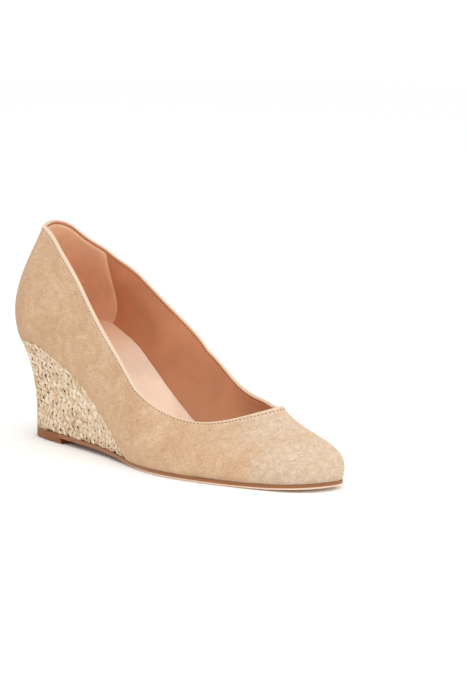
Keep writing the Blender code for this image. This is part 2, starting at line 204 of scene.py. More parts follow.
class StudioSettings(bpy.types.PropertyGroup):
    """Camera and light."""

    azimuth: degrees("Azimuth", "Camera round the shoe, in degrees", 47.84)
    elevation: degrees("Elevation", "Camera over the floor, in degrees", 8.10)
    roll: degrees("Roll", "Camera turn, in degrees", 1.15)
    distance: metres("Distance", "Camera to the shoe", 1.3024)
    floor: tone("Floor", "Pale floor", 0.97, 0.97, 0.97)


class PumpSettings(bpy.types.PropertyGroup):
    """All settings of the shoe's looks."""

    upper: PointerProperty(type=UpperSettings)
    bottom: PointerProperty(type=BottomSettings)
    studio: PointerProperty(type=StudioSettings)


def column(name):
    """One column of the ring stations."""
    return np.array([getattr(station, name) for station in STATIONS])


def closed_curve(values, at):
    """Closed uniform cubic B-spline through the rows of values, read at places given in turns."""
    rows = len(values)
    near = np.roll(np.eye(rows), 1, axis=0) + np.roll(np.eye(rows), -1, axis=0)
    control = np.linalg.solve(4.0 / 6.0 * np.eye(rows) + near / 6.0, values)
    step = np.mod(at, 1.0) * rows
    first = np.floor(step).astype(int)
    part = step - first
    weights = (
        (1 - part) ** 3 / 6,
        (3 * part**3 - 6 * part**2 + 4) / 6,
        (-3 * part**3 + 3 * part**2 + 3 * part + 1) / 6,
        part**3 / 6,
    )
    return sum(weight * control[(first - 1 + shift) % rows] for shift, weight in enumerate(weights))


def profile(name, x):
    """Monotone cubic through one column of the sections, read at x."""
    along = SHOE_LENGTH * np.array([section.along for section in SECTIONS])
    value = np.array([getattr(section, name) for section in SECTIONS])
    width = np.diff(along)
    slope = np.diff(value) / width
    same_way = slope[:-1] * slope[1:] > 0
    total = np.where(same_way, slope[:-1] + slope[1:], 1.0)
    middle = np.where(same_way, 2 * slope[:-1] * slope[1:] / total, 0.0)
    tangent = np.concatenate((slope[:1], middle, slope[-1:]))
    x = np.clip(x, along[0], along[-1])
    left = np.clip(np.searchsorted(along, x, side="right") - 1, 0, len(width) - 1)
    part = (x - along[left]) / width[left]
    return (
        (2 * part**3 - 3 * part**2 + 1) * value[left]
        + (part**3 - 2 * part**2 + part) * width[left] * tangent[left]
        + (3 * part**2 - 2 * part**3) * value[left + 1]
        + (part**3 - part**2) * width[left] * tangent[left + 1]
    )


def underside(x):
    """Height of the face on which the wedge stands."""
    arch = (TOP_PIECE_THICKNESS - SOLE_THICKNESS) * profile("arch", x)
    return SOLE_THICKNESS + arch + TOE_SPRING * profile("spring", x)


def deck(x, y=None):
    """Height of the feather line. With y given, it tilts up towards the inner side along the arch."""
    level = underside(x) + (HEEL_HEIGHT - TOP_PIECE_THICKNESS) * profile("wedge", x)
    if y is None:
        return level
    return level + ARCH_RISE * profile("inner", x) * (0.5 + y / (ARCH_WIDTH * BALL_WIDTH))


def on_deck(plan):
    """Points of a plan, set a gap above the deck."""
    height = deck(plan[..., 0], plan[..., 1]) + GAP
    return np.concatenate((plan, height[..., None]), axis=-1)


def ring(kind, at):
    """Plan of the feather line (kind sole), the base line (base) or the topline (top), at places in turns."""
    along = closed_curve(column(kind + "_along"), at) * SHOE_LENGTH
    out = closed_curve(column(kind + "_out"), at) * BALL_WIDTH
    return np.stack((along, out), axis=-1)


def ring_out(kind, at):
    """Outward unit normal of a ring's plan: the direction of travel turned a quarter to the right."""
    travel = ring(kind, at + RING_STEP) - ring(kind, at - RING_STEP)
    normal = np.stack((travel[..., 1], -travel[..., 0]), axis=-1)
    return normal / np.linalg.norm(normal, axis=-1, keepdims=True)


def wall_controls(at):
    """The four points that steer one column of the upper's wall: a cubic Bezier from foot to top."""
    foot_plan = ring("sole", at)
    top_plan = ring("top", at)
    foot = on_deck(foot_plan)
    lift = closed_curve(column("top_up"), at) * COLLAR_HEIGHT
    top = np.concatenate((top_plan, (deck(top_plan[..., 0]) + lift)[..., None]), axis=-1)
    height = top[..., 2] - foot[..., 2]
    belly = closed_curve(column("belly"), at) * COLLAR_HEIGHT
    rise = closed_curve(column("rise"), at) * height
    run = closed_curve(column("run"), at)
    drop = closed_curve(column("drop"), at) * height
    above = foot + np.concatenate((ring_out("sole", at) * belly[..., None], rise[..., None]), axis=-1)
    below = top + np.concatenate(((foot_plan - top_plan) * run[..., None], -drop[..., None]), axis=-1)
    return foot, above, below, top


def wall(at, up):
    """Point of the upper's outer face at a place in turns round it and a share up from foot to topline."""
    at, up = np.broadcast_arrays(at, up)
    foot, above, below, top = wall_controls(at)
    up = up[..., None]
    return (1 - up) ** 3 * foot + 3 * (1 - up) ** 2 * up * above + 3 * (1 - up) * up**2 * below + up**3 * top


def unit(vectors):
    """Vectors scaled to length one."""
    return vectors / np.maximum(np.linalg.norm(vectors, axis=-1, keepdims=True), 1e-12)


def wall_normal(at, up):
    """Outward unit normal of the wall: cross product of a small step round and a small step up."""
    round_step = wall(at + RING_STEP / 4, up) - wall(at - RING_STEP / 4, up)
    up_step = wall(at, up + 0.01) - wall(at, up - 0.01)
    return unit(np.cross(round_step, up_step))


def column_walk(at):
    """Shares up the wall from topline to foot, and each column's length from the topline down to them."""
    up = np.linspace(1, 0, COLUMN_STEPS)
    step = np.linalg.norm(np.diff(wall(at[:, None], up), axis=1), axis=2)
    return up, np.concatenate((np.zeros((len(at), 1)), np.cumsum(step, axis=1)), axis=1)


def up_at(at, down):
    """Share up the wall that lies a length down from the topline, read from the column's summed length."""
    up, length = column_walk(at)
    down = np.broadcast_to(down, (len(at), np.shape(down)[-1]))
    first = np.clip((length[:, None, :] <= down[:, :, None]).sum(axis=2) - 1, 0, len(up) - 2)
    low = np.take_along_axis(length, first, axis=1)
    high = np.take_along_axis(length, first + 1, axis=1)
    return up[first] + (up[first + 1] - up[first]) * (down - low) / (high - low)


def column_lengths(at):
    """Length of each column of the wall from foot to topline."""
    return column_walk(at)[1][:, -1]


def ripple(points, size, seed):
    """Smooth wavy field from -1 to 1: a mean of seven sine waves of about one size in seeded directions."""
    draw = np.random.default_rng(seed)
    way = unit(draw.normal(size=(7, 3)))
    wave = 2 * np.pi / (size * draw.uniform(0.7, 1.5, 7))
    phase = draw.uniform(0, 2 * np.pi, 7)
    return np.sin((points @ way.T) * wave + phase).mean(axis=-1) * 2


def bell(x, width):
    """Bell curve of height one."""
    return np.exp(-((x / width) ** 2))


def step_up(x):
    """Smooth step from 0 to 1 while x goes from 0 to 1."""
    x = np.clip(x, 0, 1)
    return x * x * (3 - 2 * x)


def grid_quads(columns, rows, closed_round, closed_up):
    """Quads of a grid of points numbered column by column."""
    index = np.arange(columns * rows).reshape(columns, rows)
    across = np.roll(index, -1, axis=0)
    quads = np.stack((index, across, np.roll(across, -1, axis=1), np.roll(index, -1, axis=1)), axis=2)
    if not closed_round:
        quads = quads[:-1]
    if not closed_up:
        quads = quads[:, :-1]
    return quads.reshape(-1, 4)


def signed_volume(points, quads):
    """Volume inside the quads, negative where they face inwards."""
    a, b, c, d = (points[quads[:, corner]] for corner in range(4))
    return float((np.cross(a, b) * c).sum() + (np.cross(a, c) * d).sum()) / 6


def make_piece(name, points, quads, material, slot, caps=(), corner_uv=None, values=None, sharp=None):
    """Mesh object from numpy arrays, facing out, riding on the shoe's one body.

    caps are further faces as rows of point numbers. corner_uv has one pair per corner of the quads and
    values gives named numbers per point.
    """
    points = points - np.array((ORIGIN_ALONG * SHOE_LENGTH, 0.0, 0.0))
    inside_out = signed_volume(points, quads) < 0
    if inside_out:
        quads = quads[:, ::-1]
        caps = [np.asarray(cap)[..., ::-1] for cap in caps]
        corner_uv = None if corner_uv is None else corner_uv[:, ::-1]
    caps = [np.asarray(cap) for cap in caps]
    corners = np.concatenate([quads.ravel()] + [cap.ravel() for cap in caps])
    sizes = np.concatenate([np.full(len(quads), 4)] + [np.full(len(cap), cap.shape[1]) for cap in caps])
    mesh = bpy.data.meshes.new(name)
    mesh.vertices.add(len(points))
    mesh.vertices.foreach_set("co", points.astype(np.float32).ravel())
    mesh.loops.add(len(corners))
    mesh.loops.foreach_set("vertex_index", corners.astype(np.int32))
    mesh.polygons.add(len(sizes))
    mesh.polygons.foreach_set("loop_start", np.concatenate(([0], np.cumsum(sizes)[:-1])).astype(np.int32))
    mesh.polygons.foreach_set("use_smooth", np.ones(len(sizes), dtype=bool))
    mesh.update(calc_edges=True)
    if corner_uv is not None:
        layer = mesh.uv_layers.new(name="along_across")
        flat = np.zeros((len(corners), 2), dtype=np.float32)
        flat[: len(quads) * 4] = corner_uv.reshape(-1, 2)
        layer.data.foreach_set("uv", flat.ravel())
    for label, numbers in (values or {}).items():
        layer = mesh.attributes.new(label, "FLOAT", "POINT")
        layer.data.foreach_set("value", np.asarray(numbers, dtype=np.float32).ravel())
    if sharp is not None:
        mesh.set_sharp_from_angle(angle=np.radians(sharp))
    mesh.materials.append(material)
    piece = bpy.data.objects.new(name, mesh)
    bpy.context.scene.collection.objects.link(piece)
    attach(piece, BODY)
    return piece


class Finish:
    """A material while its nodes are put together. Sockets are named with _ for a space."""

    def __init__(self, name, roughness, specular):
        self.material = bpy.data.materials.new(name)
        self.material.use_nodes = True
        self.tree = self.material.node_tree
        self.surface = self.tree.nodes["Principled BSDF"]
        self.set(Roughness=roughness, Specular_IOR_Level=specular)
        self.place = self.node("TexCoord").outputs["Object"]

    def put(self, socket, value):
        """Link an output to a socket, or give the socket a value, a colour as three numbers."""
        if isinstance(value, bpy.types.NodeSocket):
            self.tree.links.new(value, socket)
        elif socket.type == "RGBA":
            socket.default_value = (*value, 1.0)
        else:
            socket.default_value = value

    def set(self, **values):
        """Put values on the surface."""
        for name, value in values.items():
            self.put(self.surface.inputs[name.replace("_", " ")], value)

    def node(self, kind, **values):
        """A new node with values put on it."""
        node = self.tree.nodes.new("ShaderNode" + kind)
        for name, value in values.items():
            self.put(node.inputs[name.replace("_", " ")], value)
        return node

    def noise(self, size, detail=3.0, rough=0.5, twist=0.0, place=None):
        """Noise whose grains are about size metres, or units of the given place."""
        place = self.place if place is None else place
        grain = {"Scale": 1 / size, "Detail": detail, "Roughness": rough, "Distortion": twist}
        return self.node("TexNoise", Vector=place, **grain).outputs["Fac"]

    def spread(self, source, low, high, to_low=0.0, to_high=1.0):
        """Map a value from low..high to to_low..to_high, held at the ends."""
        node = self.node("MapRange", Value=source, From_Min=low, From_Max=high, To_Min=to_low, To_Max=to_high)
        return node.outputs["Result"]

    def mix(self, share, first, second):
        """Mix two colours by a share, each an output or numbers."""
        node = self.node("Mix")
        node.data_type = "RGBA"
        for number, value in ((0, share), (6, first), (7, second)):
            self.put(node.inputs[number], value)
        return node.outputs[2]

    def shades(self, share, colour, low, high):
        """Mix two shades of a colour, given as factors."""
        return self.mix(share, scaled(colour, low), scaled(colour, high))

    def times(self, colour, factor):
        """A colour times a factor, both outputs."""
        node = self.node("VectorMath")
        node.operation = "SCALE"
        self.put(node.inputs[0], colour)
        self.put(node.inputs["Scale"], factor)
        return node.outputs[0]

    def value(self, name):
        """A named number of the mesh's points."""
        node = self.node("Attribute")
        node.attribute_name = name
        return node.outputs["Fac"]

    def uv(self, *stretch):
        """The piece's own UV map, scaled."""
        source = self.node("UVMap")
        source.uv_map = "along_across"
        return self.node("Mapping", Vector=source.outputs["UV"], Scale=(*stretch, 1.0)).outputs["Vector"]

    def relief(self, height, depth):
        """Bump of a height from 0 to 1 over depth metres, on top of the bumps put on before."""
        bump = self.node("Bump", Strength=1.0, Distance=depth, Height=height)
        for previous in tuple(self.surface.inputs["Normal"].links):
            self.put(bump.inputs["Normal"], previous.from_socket)
        self.set(Normal=bump.outputs["Normal"])

    def colour(self, source):
        """Give the surface its colour."""
        self.set(Base_Color=source)


def scaled(colour, factor):
    """A colour times a factor."""
    return tuple(min(1.0, c * factor) for c in colour)


def grained(name, roughness, specular, size, depth, detail=3.0, rough=0.6):
    """Material with one fine grain of a size and depth, and the grain's output."""
    finish = Finish(name, roughness, specular)
    grain = finish.noise(size, detail, rough)
    finish.relief(grain, depth)
    return finish, grain


def suede_finish(upper):
    """Suede: soft patches where the nap lies one way or the other, over short fibres, with painted shade at
    the heel's back and painted sheen on vamp and toe.
    """
    finish = Finish("camel_suede", 0.93, 0.2)
    finish.set(Sheen_Weight=0.18, Sheen_Roughness=0.45, Sheen_Tint=(1.0, 0.88, 0.72))
    patches = finish.spread(finish.noise(0.017, 4.0, 0.6, 0.8), 0.36, 0.66)
    blots = finish.noise(0.0032, 3.0, 0.65, 0.4)
    fibres = finish.noise(0.0009, 3.0, 0.75, 0.5)
    body = finish.mix(patches, upper.nap, upper.nap_light)
    # The heel zone mixes in painted shade, the toe zone painted sheen.
    for zone, colour in (("heel", upper.heel_painted_shade), ("toe", upper.toe_painted_sheen)):
        body = finish.mix(finish.value(zone), body, colour)
    body = finish.mix(finish.spread(blots, 0.35, 0.65, 0.0, 0.45), body, scaled(upper.nap, 0.84))
    grain = finish.spread(fibres, 0.34, 0.66, 0.80, 1.14)
    finish.colour(finish.mix(finish.value("edge"), finish.times(body, grain), upper.edge))
    finish.relief(blots, 0.00012)
    finish.relief(fibres, 0.00011)
    return finish.material


def leather_finish(name, colour, zone, roughness, coat):
    """Smooth leather: fine pebbled grain, slow change of tone, low gloss, and a zone of another colour."""
    finish, _pores = grained(name, roughness, 0.4, 0.0007, 0.00003, detail=2.0)
    finish.set(Coat_Weight=coat, Coat_Roughness=0.35)
    cloud = finish.spread(finish.noise(0.03, 3.0, 0.55, 0.5), 0.35, 0.68)
    finish.colour(finish.mix(finish.value("zone"), finish.shades(cloud, colour, 0.88, 1.06), zone))
    return finish.material


def grip_finish(upper):
    """Short-napped suede inside the heel."""
    finish, fibres = grained("heel_grip_suede", 0.9, 0.2, 0.0005, 0.00008, rough=0.65)
    finish.set(Sheen_Weight=0.25, Sheen_Roughness=0.5)
    cloud = finish.spread(finish.noise(0.012, 3.0, 0.6, 0.6), 0.35, 0.68)
    body = finish.shades(cloud, upper.grip, 0.9, 1.06)
    finish.colour(finish.mix(finish.spread(fibres, 0.3, 0.7, 0.0, 0.35), body, scaled(upper.grip, 0.8)))
    return finish.material


def thread_finish(name, upper):
    """Waxed sewing thread with its twist."""
    finish, twist = grained(name, 0.6, 0.4, 0.0003, 0.00005, detail=1.0, rough=0.5)
    finish.colour(finish.shades(twist, upper.thread, 0.75, 1.25))
    return finish.material


def straw_finish(bottom):
    """Natural straw: streaks along each strand, strands of three tones, and painted shade where a strand dips
    under the others.
    """
    finish = Finish("plaited_straw", 0.62, 0.35)
    streaks = finish.noise(1.0, 4.0, 0.65, 0.2, finish.uv(260.0, 12.0))
    fine = finish.noise(1.0, 3.0, 0.6, 0.0, finish.uv(500.0, 44.0))
    tint = finish.value("tint")
    body = finish.mix(finish.spread(tint, 0.0, 0.5), bottom.straw_gold, bottom.straw)
    body = finish.mix(finish.spread(tint, 0.5, 1.0), body, bottom.straw_pale)
    body = finish.mix(finish.spread(streaks, 0.48, 0.62, 0.0, 0.8), body, bottom.straw_gold)
    body = finish.mix(finish.spread(streaks, 0.34, 0.46, 0.8, 0.0), body, bottom.straw_pale)
    # Painted shade where a strand dips under the others.
    finish.colour(finish.mix(finish.value("under_shade"), body, scaled(bottom.straw_gold, 0.6)))
    finish.relief(streaks, 0.00022)
    finish.relief(fine, 0.00008)
    return finish.material


def backing_finish(bottom):
    """Shaded straw cloth behind the plait."""
    finish, weave = grained("straw_backing", 0.8, 0.2, 0.0012, 0.0002)
    finish.colour(finish.mix(weave, scaled(bottom.straw_gold, 0.9), bottom.straw))
    return finish.material


def sole_finish(bottom):
    """Dyed and waxed leather edge with painted shade along its top, and a paler natural bevel and underside.
    """
    finish, layers = grained("sole_edge", 0.42, 0.45, 0.0012, 0.00005)
    finish.set(Coat_Weight=0.05, Coat_Roughness=0.3)
    # The seam value is painted shade along the top, where the upper meets the sole.
    edge = finish.mix(finish.value("seam"), finish.shades(layers, bottom.sole, 0.85, 1.15), bottom.sole_painted_shade)
    finish.colour(finish.mix(finish.value("bevel"), edge, bottom.bevel))
    return finish.material


def rubber_finish(bottom):
    """Matt top piece, moulded in the sole's colour, with painted shade along its top."""
    finish, specks = grained("top_piece", 0.55, 0.4, 0.0009, 0.00006)
    body = finish.shades(specks, bottom.top_piece, 0.85, 1.15)
    # The seam value is painted shade along the top, where the straw meets the top piece.
    finish.colour(finish.mix(finish.value("seam"), body, bottom.top_piece_painted_shade))
    return finish.material


SUEDE_COLUMNS = 720
SUEDE_TOP_ROWS = np.array((0.0, 0.25, 0.5, 0.8, 1.1, 1.4, 1.65, 1.9, 2.15, 2.4, 2.8, 3.4, 4.2, 5.2, 6.5)) * MM
SUEDE_ROWS = 52
SUEDE_SINK = 0.00035  # how far the suede's lower edge is drawn down onto wedge and sole
SEAM_AT = 0.757  # place of the inner side seam at the topline, in turns
SEAM_LEAN = 0.035  # how far it leans back towards the feather line


def topline_length():
    """Places round the topline in turns and the length along it, both from the back."""
    at = np.linspace(0, 1, DENSE + 1)
    line = wall(at, np.ones(DENSE + 1))
    length = np.concatenate(([0], np.cumsum(np.linalg.norm(np.diff(line, axis=0), axis=1))))
    return at, length


def seam_place(up):
    """Place of the inner side seam at a share up the wall."""
    return SEAM_AT + SEAM_LEAN * (1 - up)


def counter_reach(up):
    """How far in turns the heel's stiffener reaches forward at a share up the wall."""
    return 0.098 + 0.020 * (1 - up)


def around(at):
    """Turns from the back of the heel, from -0.5 to 0.5."""
    return np.mod(at + 0.5, 1.0) - 0.5


def suede_relief(at, up, down, length, upper):
    """Height of the suede over the plain wall.

    The folded edge swells above the stitch row, whose holes pull it in. The stiffener's front edge
    shows as a soft step, the side seam as a groove, slow waves cross the sides and the last
    millimetre turns in under the foot.
    """
    dense_at, dense_length = topline_length()
    along = np.interp(at, dense_at, dense_length)
    swell = upper.edge_swell * step_up(down / (0.4 * MM)) * step_up((upper.stitch_down - down) / (0.5 * MM))
    pull = 0.5 - 0.5 * np.cos(2 * np.pi * along / even_pitch(upper.stitch_pitch, dense_length[-1]))
    groove = -(0.10 + 0.06 * pull) * MM * bell(down - upper.stitch_down, 0.38 * MM)
    stiff = 0.22 * MM * step_up((counter_reach(up) - np.abs(around(at))) / 0.012 + 0.5)
    place = wall(at, up)
    waves = 0.14 * MM * ripple(place, 0.026, 3) * step_up(down / (9 * MM))
    tuck = -0.12 * MM * bell(length - down, 0.8 * MM) + 0.12 * MM * bell(length - down - 2.4 * MM, 1.2 * MM)
    across = (at - seam_place(up)) / 0.0013
    seam = -0.30 * MM * bell(across, 0.40) + 0.16 * MM * step_up(across + 0.5) * bell(across - 2.0, 3.0)
    return swell + groove + stiff + waves + tuck + seam


def even_pitch(pitch, length):
    """Pitch that fits a whole number of times into a length."""
    return length / round(length / pitch)


def half_round(middle, normal, climb, radius, count):
    """Points on a half circle over a top edge, starting on the side that normal points to."""
    turn = np.linspace(0, np.pi, count + 2)[1:-1, None]
    return middle[:, None] + radius * (normal[:, None] * np.cos(turn) + climb[:, None] * np.sin(turn))


def suede_shell(upper):
    """Grid of the suede: outer face up, half round over the top edge, inner face down.

    With it come its zones as numbers per point: edge for the pale fold, heel for the painted shade at the
    heel's back and toe for the painted sheen on vamp and toe.
    """
    at = np.arange(SUEDE_COLUMNS) / SUEDE_COLUMNS
    place = at[:, None]
    top_rows = up_at(at, SUEDE_TOP_ROWS)[:, ::-1]
    share = np.linspace(0, 1, SUEDE_ROWS, endpoint=False) ** 1.35
    up = np.concatenate((top_rows[:, :1] * share, top_rows), axis=1)
    outer = wall(place, up)
    normal = wall_normal(place, up)
    step = np.linalg.norm(np.diff(outer, axis=1), axis=2)
    from_foot = np.concatenate((np.zeros((len(at), 1)), np.cumsum(step, axis=1)), axis=1)
    down = from_foot[:, -1:] - from_foot
    length = column_lengths(at)[:, None]
    outer = outer + normal * suede_relief(place, up, down, length, upper)[:, :, None]
    outer[:, 0, 2] -= SUEDE_SINK
    climb = unit(outer[:, -1] - outer[:, -2])
    half = upper.suede / 2
    round_top = half_round(outer[:, -1] - normal[:, -1] * half, normal[:, -1], climb, half, 7)
    inner_up = np.linspace(1, 0, 14)
    inner = wall(place, inner_up) - wall_normal(place, inner_up) * upper.suede
    inner[:, -1] = on_deck(ring("sole", at) - ring_out("sole", at) * upper.suede)
    inner[:, -1, 2] -= SUEDE_SINK
    grid = np.concatenate((outer, round_top, inner), axis=1)
    fold = 0.9 * step_up((0.95 * MM - down) / (0.5 * MM))
    along = outer[:, :, 0] / SHOE_LENGTH + 0.02 * ripple(outer, 0.04, 5)
    # Painted sheen on the top of the vamp and on the toe.
    vamp = step_up((along - 0.68) / 0.22) * step_up((up - 0.35) / 0.5)
    # Painted shade at the heel's back: how far round it reaches, in turns.
    reach = 0.09 + 0.03 * (1 - up) + 0.02 * ripple(outer, 0.03, 8)
    faces = {
        "edge": fold + 0.35 * step_up((5 * MM - down) / (4 * MM)) * (1 - fold),
        "heel": step_up((reach - np.abs(around(place))) / 0.075 + 0.5),
        "toe": np.maximum(vamp, 0.9 * step_up((along - 0.84) / 0.12)),
    }
    zones = {}
    for name, numbers in faces.items():
        zones[name] = np.full(grid.shape[:2], 1.0 if name == "edge" else 0.0)
        zones[name][:, : up.shape[1]] = numbers
    return grid, zones


def closed_shell(grid):
    """Points and quads of a grid that is closed both ways."""
    return grid.reshape(-1, 3), grid_quads(grid.shape[0], grid.shape[1], True, True)


def make_suede(upper):
    """Suede of the upper as one closed shell."""
    grid, zones = suede_shell(upper)
    piece = make_piece("upper_suede", *closed_shell(grid), suede_finish(upper), "suede", values=zones)
    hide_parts("upper")


LINING_COLUMNS = 480
LINING_ROWS = 64
LINING_BEHIND = 0.00003  # between the suede's inner face and the lining
# Painted sheen: the lining's lower wall pales towards the insole.
LINING_PAINTED_SHEEN = 0.28  # how far the lining pales towards the insole, from the waist on


def make_lining(upper):
    """Leather lining from the insole to the topline, where its edge lies against the suede's fold.

    Its grid runs up the inner face, half round over the top and down the face behind the suede. A painted
    sheen pales its lower wall from the waist on.
    """
    at = np.arange(LINING_COLUMNS) / LINING_COLUMNS
    up = 1 - (1 - np.linspace(0, 1, LINING_ROWS)) ** 1.6
    surface = wall(at[:, None], up)
    normal = wall_normal(at[:, None], up)
    faces = []
    for depth in (UPPER_WALL, upper.suede + LINING_BEHIND):
        face = surface - normal * depth
        face[:, 0] = on_deck(ring("sole", at) - ring_out("sole", at) * depth)
        faces.append(face)
    back, front = faces
    middle = (back[:, -1] + front[:, -1]) / 2
    climb = unit(surface[:, -1] - surface[:, -2])
    half = (UPPER_WALL - upper.suede - LINING_BEHIND) / 2
    round_top = half_round(middle, -normal[:, -1], climb, half, 5)
    grid = np.concatenate((back, round_top, front[:, ::-1]), axis=1)
    level = (back[:, :, 2] - back[:, :1, 2]) / (back[:, -1:, 2] - back[:, :1, 2])
    forward = step_up((back[:, :, 0] / SHOE_LENGTH - 0.3) / 0.25)
    zone = np.full(grid.shape[:2], 0.9)
    # Painted sheen: low on the wall the lining pales towards the edge colour; its top rows take the edge
    # colour.
    zone[:, : LINING_ROWS - 2] = (LINING_PAINTED_SHEEN * forward * (1 - level) ** 1.5)[:, :-2]
    material = leather_finish("lining_leather", upper.lining, upper.edge, 0.48, 0.08)
    make_piece("lining", *closed_shell(grid), material, "insole_leather", values={"zone": zone})


GRIP_REACH = (  # share down from the topline, reach in turns from the back
    (0.0, 0.132),
    (0.2, 0.1355),
    (0.4, 0.1395),
    (0.55, 0.142),
    (0.7, 0.1425),
    (0.85, 0.141),
    (1.0, 0.137),
)
GRIP_FOOT = 0.055  # share up the wall where the panel ends
GRIP_TOP_DOWN = 0.0015
GRIP_EDGE = 0.00012
GRIP_THICKNESS = 0.0005


def make_heel_grip(upper):
    """Suede panel inside the heel: a thin shell on the lining whose front edge bows forward."""
    side = np.linspace(-1, 1, 180)
    share_down = np.linspace(1, 0, 46)
    place = side[:, None] * np.interp(share_down, *np.transpose(GRIP_REACH))
    high = up_at(np.mod(place[:, -1], 1.0), np.array((GRIP_TOP_DOWN,)))
    up = GRIP_FOOT + (high - GRIP_FOOT) * (1 - share_down)
    surface = wall(place, up)
    normal = wall_normal(place, up)
    rim = np.minimum(step_up((1 - np.abs(side)) / 0.02)[:, None], step_up(share_down / 0.02))
    proud = GRIP_EDGE + (GRIP_THICKNESS - GRIP_EDGE) * rim
    back = surface - normal * (UPPER_WALL + proud)[:, :, None]
    front = surface - normal * (UPPER_WALL + 0.04 * MM)
    columns, rows = back.shape[:2]
    count = columns * rows
    face = grid_quads(columns, rows, False, False)
    index = np.arange(count).reshape(columns, rows)
    border = np.concatenate((index[:, 0], index[-1, 1:], index[-2::-1, -1], index[0, -2:0:-1]))
    after = np.roll(border, -1)
    sides = np.stack((border, border + count, after + count, after), axis=1)
    quads = np.concatenate((face, face[:, ::-1] + count, sides))
    points = np.concatenate((back.reshape(-1, 3), front.reshape(-1, 3)))
    make_piece("heel_grip", points, quads, grip_finish(upper), "insole_leather")


def tubes(sections):
    """Points, quads and end caps of tubes, each given as rings of points one after the other."""
    points, quads, first, last = [], [], [], []
    base = 0
    for section in sections:
        count, corners = section.shape[:2]
        points.append(section.reshape(-1, 3))
        quads.append(grid_quads(count, corners, False, True) + base)
        first.append(np.arange(corners) + base)
        last.append(np.arange(corners)[::-1] + (count - 1) * corners + base)
        base += count * corners
    return np.concatenate(points), np.concatenate(quads), (np.stack(first), np.stack(last))


def thread_dashes(centres, along, normals, length, radius):
    """Short stitches, each a tube bent into the surface at both ends.

    A stitch's middle line is length long and dips by 1.3 radii times the square of its place from -1 to 1.
    """
    place = np.linspace(-1, 1, 7)[:, None]
    turn = np.arange(6) / 6 * 2 * np.pi
    side = unit(np.cross(normals, along))
    dip = 1.3 * radius * place**2
    middle = centres[:, None] + along[:, None] * place * length / 2 - normals[:, None] * dip
    size = radius * np.sqrt(np.clip(1 - (place * 0.92) ** 4, 0.05, 1))
    across = (size * np.cos(turn))[:, :, None]
    out = (size * np.sin(turn))[:, :, None]
    return tubes(middle[:, :, None] + side[:, None, None] * across + normals[:, None, None] * out)


STITCH_RADIUS = 0.00025
STITCH_SHARE = 0.56  # a stitch's length as a share of the pitch
STITCH_PROUD = 0.00006
LINING_ROW_DOWN = 0.0015
LINING_ROW_PROUD = 0.00008
SEAM_ROW_BEHIND = 0.0042  # from the side seam to its stitches, in turns
SEAM_ROW_START = 0.004
SEAM_ROW_END = 0.001
SEAM_ROW_PROUD = 0.00008
SEAM_STITCH_RADIUS = 0.00017
SEAM_STITCH_SHARE = 0.62


def make_topline_stitches(upper, inside):
    """Row of stitches all the way round below the topline, on the suede or inside on the lining."""
    dense_at, dense_length = topline_length()
    pitch = even_pitch(upper.stitch_pitch, dense_length[-1])
    count = int(round(dense_length[-1] / pitch))
    at = np.interp((np.arange(count) + 0.5) * pitch, dense_length, dense_at)
    down = LINING_ROW_DOWN if inside else upper.stitch_down
    up = up_at(at, np.full((count, 1), down))[:, 0]
    normal = wall_normal(at, up)
    along = unit(wall(at + 0.001, up) - wall(at - 0.001, up))
    if inside:
        centres = wall(at, up) - normal * (UPPER_WALL + LINING_ROW_PROUD)
        normal = -normal
    else:
        relief = suede_relief(at, up, np.full(count, down), column_lengths(at), upper)
        centres = wall(at, up) + normal * (relief + STITCH_PROUD)[:, None]
    points, quads, caps = thread_dashes(centres, along, normal, pitch * STITCH_SHARE, STITCH_RADIUS)
    name, slot = ("lining_stitches", "insole_leather") if inside else ("topline_stitches", "suede")
    make_piece(name, points, quads, thread_finish(name + "_thread", upper), slot, caps=caps)


def make_seam_stitches(upper):
    """Row of stitches behind the inner side seam."""
    length = float(column_lengths(np.array([SEAM_AT]))[0])
    count = int((length - SEAM_ROW_START - SEAM_ROW_END) / upper.stitch_pitch)
    down = SEAM_ROW_START + np.arange(count) * upper.stitch_pitch
    up = up_at(np.full(1, SEAM_AT), down[None, :])[0]
    at = seam_place(up) + SEAM_ROW_BEHIND
    centres = wall(at, up)
    normal = wall_normal(at, up)
    along = unit(wall(seam_place(up - 0.01) + SEAM_ROW_BEHIND, up - 0.01) - centres)
    centres = centres + normal * SEAM_ROW_PROUD
    length = upper.stitch_pitch * SEAM_STITCH_SHARE
    points, quads, caps = thread_dashes(centres, along, normal, length, SEAM_STITCH_RADIUS)
    make_piece("seam_stitches", points, quads, thread_finish("seam_thread", upper), "suede", caps=caps)


def dense_sides(kind, margin):
    """Outer and inner side of a ring grown by margin, each as rows of X and Y from back to toe."""
    at = np.arange(DENSE) / DENSE
    plan = ring(kind, at) + ring_out(kind, at) * margin
    plan = np.roll(plan, -int(np.argmin(plan[:, 0])), axis=0)
    tip = int(np.argmax(plan[:, 0]))
    outer = plan[: tip + 1]
    inner = np.concatenate((plan[tip:], plan[:1]))[::-1]
    return outer, inner


def side_points(kind, margin, shares, start=None, end=None):
    """X, outer Y and inner Y of a ring at shares of its length, cut off at start and end where given."""
    outer, inner = dense_sides(kind, margin)
    first = outer[0, 0] if start is None else start
    last = outer[-1, 0] if end is None else end
    x = first + (last - first) * shares
    return x, np.interp(x, outer[:, 0], outer[:, 1]), np.interp(x, inner[:, 0], inner[:, 1])


